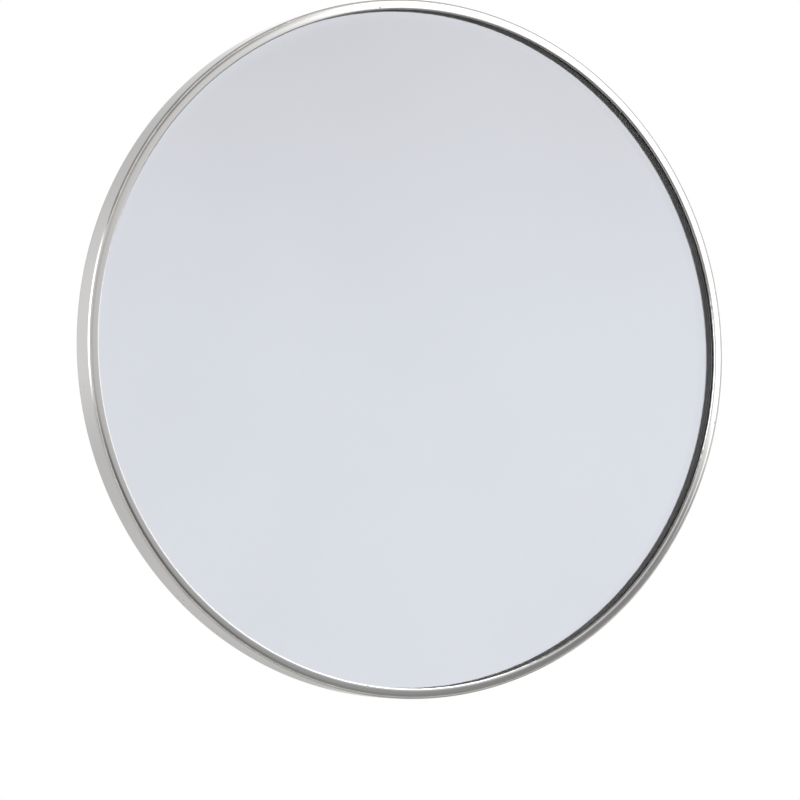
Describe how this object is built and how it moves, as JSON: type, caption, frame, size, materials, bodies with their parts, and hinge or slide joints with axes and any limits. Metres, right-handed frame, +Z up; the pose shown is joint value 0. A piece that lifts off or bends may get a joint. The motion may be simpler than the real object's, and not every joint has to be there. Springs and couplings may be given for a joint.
{
  "type": "convex mirror",
  "caption": "Round convex mirror in a folded stainless steel rim, on a spring-loaded ball joint, a short stem and a folding knuckle with a round screw-on foot.",
  "frame": {"origin": "centre of the foot's rear face, which lies on the wall or fixture", "axes": "+Y from the mirror back into the wall, so the mirror faces -Y; +Z up along the folding pivot; +X to the right seen from the front"},
  "size_m": [0.12, 0.0811, 0.12],
  "materials": {
    "polished_stainless": "polished, fine turning lines, tiny pits",
    "brushed_stainless": "fine brushed satin",
    "zinc_steel": "bright zinc plated",
    "clear_glass": "clear, polished",
    "mirror_silver": "silvered",
    "black_rubber": "matt",
    "grey_foam": "closed-cell foam",
    "nylon": "moulded"
  },
  "bodies": {
    "foot": {"foot_gasket": "black_rubber", "foot_bracket": "brushed_stainless", "pivot_bolt": "zinc_steel", "pivot_nut": "zinc_steel", "friction_washer_upper": "nylon", "friction_washer_lower": "nylon", "bolt_washer_upper": "zinc_steel", "bolt_washer_lower": "zinc_steel"},
    "knuckle": {"swivel_knuckle": "brushed_stainless", "stem_set_screw": "zinc_steel"},
    "stem": {"stem_rod": "polished_stainless", "lock_nut": "zinc_steel", "ball_stud": "polished_stainless"},
    "liner": {"ball_liner": "nylon"},
    "head": {"ball_collar": "polished_stainless", "collar_gasket": "black_rubber", "joint_screw_1": "zinc_steel", "joint_screw_2": "zinc_steel", "joint_screw_3": "zinc_steel", "joint_nut_1": "zinc_steel", "joint_nut_2": "zinc_steel", "joint_nut_3": "zinc_steel", "socket_can": "zinc_steel", "pressure_spring": "zinc_steel", "pressure_cup": "nylon", "back_shell": "brushed_stainless", "backing_pad": "grey_foam", "edge_seal": "black_rubber", "silver_coating": "mirror_silver", "mirror_glass": "clear_glass", "rim": "polished_stainless"}
  },
  "joints": [
    {"name": "arm_fold", "type": "hinge", "parent": "foot", "child": "knuckle", "pos_m": [0, -0.017, 0], "axis": [0, 0, 1], "range_deg": [-30, 30]},
    {"name": "stem_turn", "type": "hinge", "parent": "knuckle", "child": "stem", "pos_m": [0, -0.035, 0], "axis": [0, 1, 0], "continuous": true},
    {"name": "head_pan", "type": "hinge", "parent": "stem", "child": "liner", "pos_m": [0, -0.058, 0], "axis": [0, 0, 1], "range_deg": [-20, 20]},
    {"name": "head_tilt", "type": "hinge", "parent": "liner", "child": "head", "pos_m": [0, -0.058, 0], "axis": [1, 0, 0], "range_deg": [-20, 20]}
  ]
}
